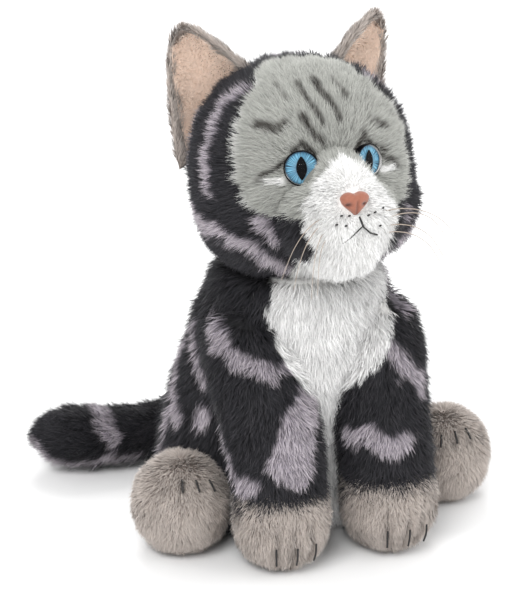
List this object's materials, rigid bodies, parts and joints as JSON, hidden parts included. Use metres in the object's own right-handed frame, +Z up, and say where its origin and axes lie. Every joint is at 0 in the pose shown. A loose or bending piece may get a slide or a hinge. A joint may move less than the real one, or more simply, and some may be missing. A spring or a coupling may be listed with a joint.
{
  "type": "plush cat",
  "caption": "Sitting plush cat with sewn pile covers over stuffing, safety eyes, stitched paws, and a head, ears, legs and tail that flex at their seams.",
  "frame": {"origin": "on the ground under the base panel's front half, on the vertical axis of the body", "axes": "+Z up, the cat faces -Y, +X is the cat's left"},
  "size_m": [0.181, 0.1542, 0.2118],
  "materials": {
    "tabby_plush": "long pile, black with lilac-grey stripes",
    "white_plush": "white pile",
    "grey_plush": "short grey-green pile",
    "beige_plush": "taupe pile",
    "ear_velour": "short peach velour",
    "stuffing": "polyester fibre",
    "pellets": "woven bag of plastic pellets",
    "thread": "embroidery thread",
    "bristle": "thin nylon bristle",
    "eye_clear": "clear moulded dome",
    "eye_blue": "glitter blue",
    "eye_black": "gloss black",
    "washer": "moulded",
    "nose_pink": "satin terracotta pink"
  },
  "bodies": {
    "torso": {"torso_stuffing": "stuffing", "pellet_bag": "pellets", "seat_panel": "tabby_plush", "side_panel_left": "tabby_plush", "side_panel_right": "tabby_plush", "chest_bib": "white_plush", "belly_panel": "white_plush", "closing_stitches": "thread"},
    "neck": {"neck_gusset": "tabby_plush"},
    "head": {"head_stuffing": "stuffing", "head_panel_left": "tabby_plush", "head_panel_right": "tabby_plush", "face_panel": "grey_plush", "muzzle_panel": "white_plush", "eye_dome_left": "eye_clear", "eye_iris_left": "eye_blue", "eye_pupil_left": "eye_black", "eye_post_left": "eye_black", "eye_washer_left": "washer", "eye_dome_right": "eye_clear", "eye_iris_right": "eye_blue", "eye_pupil_right": "eye_black", "eye_post_right": "eye_black", "eye_washer_right": "washer", "nose": "nose_pink", "nose_washer": "washer", "mouth_stitches": "thread", "whisker_dots": "thread", "whiskers_left": "bristle", "whiskers_right": "bristle"},
    "ear_left": {"ear_back_left": "beige_plush", "ear_lining_left": "ear_velour"},
    "foreleg_left": {"foreleg_sleeve_left": "tabby_plush", "paw_cover_left": "beige_plush", "foreleg_stuffing_left": "stuffing", "paw_stitches_left": "thread"},
    "hind_foot_left": {"foot_cover_left": "beige_plush", "foot_stuffing_left": "stuffing", "foot_stitches_left": "thread"},
    "ear_right": {"ear_back_right": "beige_plush", "ear_lining_right": "ear_velour"},
    "foreleg_right": {"foreleg_sleeve_right": "tabby_plush", "paw_cover_right": "beige_plush", "foreleg_stuffing_right": "stuffing", "paw_stitches_right": "thread"},
    "hind_foot_right": {"foot_cover_right": "beige_plush", "foot_stuffing_right": "stuffing", "foot_stitches_right": "thread"},
    "tail_root": {"tail_root_cover": "tabby_plush", "tail_root_stuffing": "stuffing"},
    "tail_tip": {"tail_tip_cover": "tabby_plush", "tail_tip_stuffing": "stuffing"}
  },
  "joints": [
    {"name": "neck_turn", "type": "hinge", "parent": "torso", "child": "neck", "pos_m": [0, -0.004, 0.148], "axis": [0, 0, 1], "range_deg": [-20, 20], "stiffness_Nm_per_rad": 0.4},
    {"name": "neck_nod", "type": "hinge", "parent": "neck", "child": "head", "pos_m": [0, -0.004, 0.148], "axis": [1, 0, 0], "range_deg": [-15, 12], "stiffness_Nm_per_rad": 0.4},
    {"name": "ear_bend_left", "type": "hinge", "parent": "head", "child": "ear_left", "pos_m": [0.02763, 0.01649, 0.17761], "axis": [0.6605, 0.4115, -0.628], "range_deg": [-12, 12], "stiffness_Nm_per_rad": 0.03},
    {"name": "shoulder_left", "type": "hinge", "parent": "torso", "child": "foreleg_left", "pos_m": [0.027, -0.019, 0.084], "axis": [-1, 0, 0], "range_deg": [0, 25], "stiffness_Nm_per_rad": 0.3},
    {"name": "ankle_left", "type": "hinge", "parent": "torso", "child": "hind_foot_left", "pos_m": [0.051, 0.003, 0.019], "axis": [0, 0, 1], "range_deg": [-12, 12], "stiffness_Nm_per_rad": 0.2},
    {"name": "ear_bend_right", "type": "hinge", "parent": "head", "child": "ear_right", "pos_m": [-0.02763, 0.01649, 0.17761], "axis": [-0.6605, 0.4115, -0.628], "range_deg": [-12, 12], "stiffness_Nm_per_rad": 0.03},
    {"name": "shoulder_right", "type": "hinge", "parent": "torso", "child": "foreleg_right", "pos_m": [-0.027, -0.019, 0.084], "axis": [-1, 0, 0], "range_deg": [0, 25], "stiffness_Nm_per_rad": 0.3},
    {"name": "ankle_right", "type": "hinge", "parent": "torso", "child": "hind_foot_right", "pos_m": [-0.045, -0.002, 0.019], "axis": [0, 0, 1], "range_deg": [-12, 12], "stiffness_Nm_per_rad": 0.2},
    {"name": "tail_swing", "type": "hinge", "parent": "torso", "child": "tail_root", "pos_m": [0, 0.047, 0.024], "axis": [0, 0, 1], "range_deg": [-50, 5], "stiffness_Nm_per_rad": 0.08},
    {"name": "tail_curl", "type": "hinge", "parent": "tail_root", "child": "tail_tip", "pos_m": [-0.046, 0.067, 0.018], "axis": [0, 0, 1], "range_deg": [-25, 20], "stiffness_Nm_per_rad": 0.05}
  ]
}
